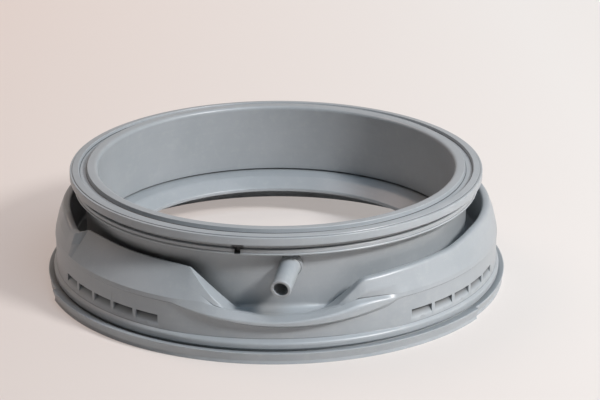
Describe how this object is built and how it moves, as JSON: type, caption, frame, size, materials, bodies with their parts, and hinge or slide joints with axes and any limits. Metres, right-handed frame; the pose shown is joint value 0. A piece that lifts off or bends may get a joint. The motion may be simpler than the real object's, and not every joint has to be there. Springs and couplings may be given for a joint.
{
  "type": "washing machine door seal",
  "caption": "Round rubber door seal with a cabinet flange, sealing lip, folded bellows with a front cutaway, a drain nozzle and a base flange.",
  "frame": {"origin": "on the ring's axis, in the plane of the base flange's tub face that the seal rests on", "axes": "+Z along the ring's axis from the tub face to the cabinet flange, -Y towards the drain nozzle"},
  "size_m": [0.4052, 0.4082, 0.1026],
  "materials": {
    "moulded_rubber": "matt moulded grey rubber"
  },
  "bodies": {
    "root": {"door_seal": "moulded_rubber"}
  },
  "joints": []
}
